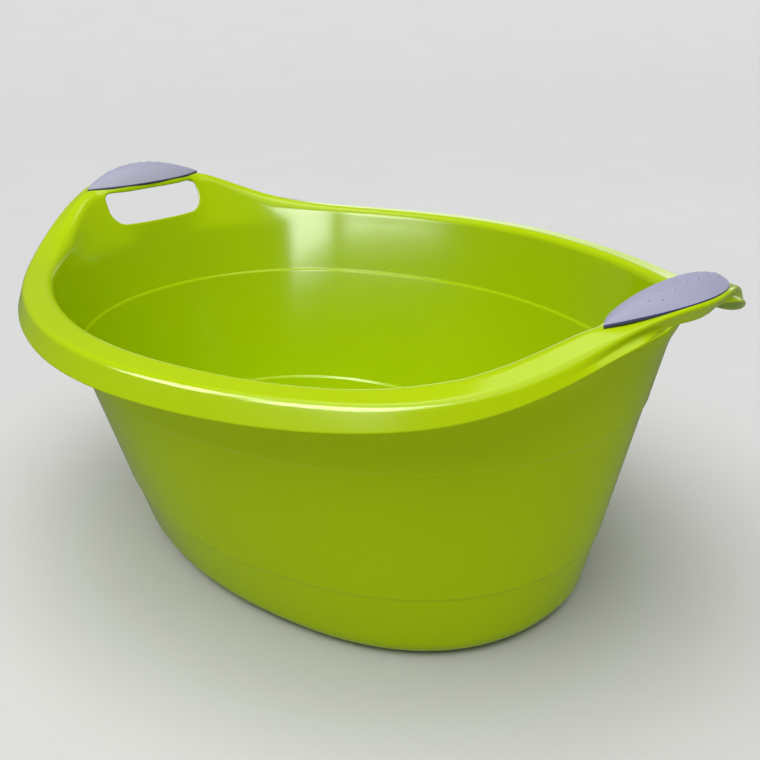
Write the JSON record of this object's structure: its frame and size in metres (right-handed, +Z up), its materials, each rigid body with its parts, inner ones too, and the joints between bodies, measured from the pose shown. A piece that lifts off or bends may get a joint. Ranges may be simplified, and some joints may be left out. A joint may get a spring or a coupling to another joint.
{
  "type": "bathtub",
  "caption": "Deep oval plastic tub with stepped tapering walls, a rolled rim that rises at both ends over cut-out hand-holds, and a soft grip pad on each handle.",
  "frame": {"origin": "centre of the flat underside of the floor", "axes": "+X along the long axis, from the middle towards one handle; +Y across; +Z up"},
  "size_m": [0.6672, 0.4842, 0.2916],
  "materials": {
    "lime_plastic": "glossy opaque lime green polypropylene",
    "grey_soft": "satin lavender grey soft-touch elastomer"
  },
  "bodies": {
    "root": {"tub_shell": "lime_plastic", "grip_right": "grey_soft", "grip_left": "grey_soft"}
  },
  "joints": []
}
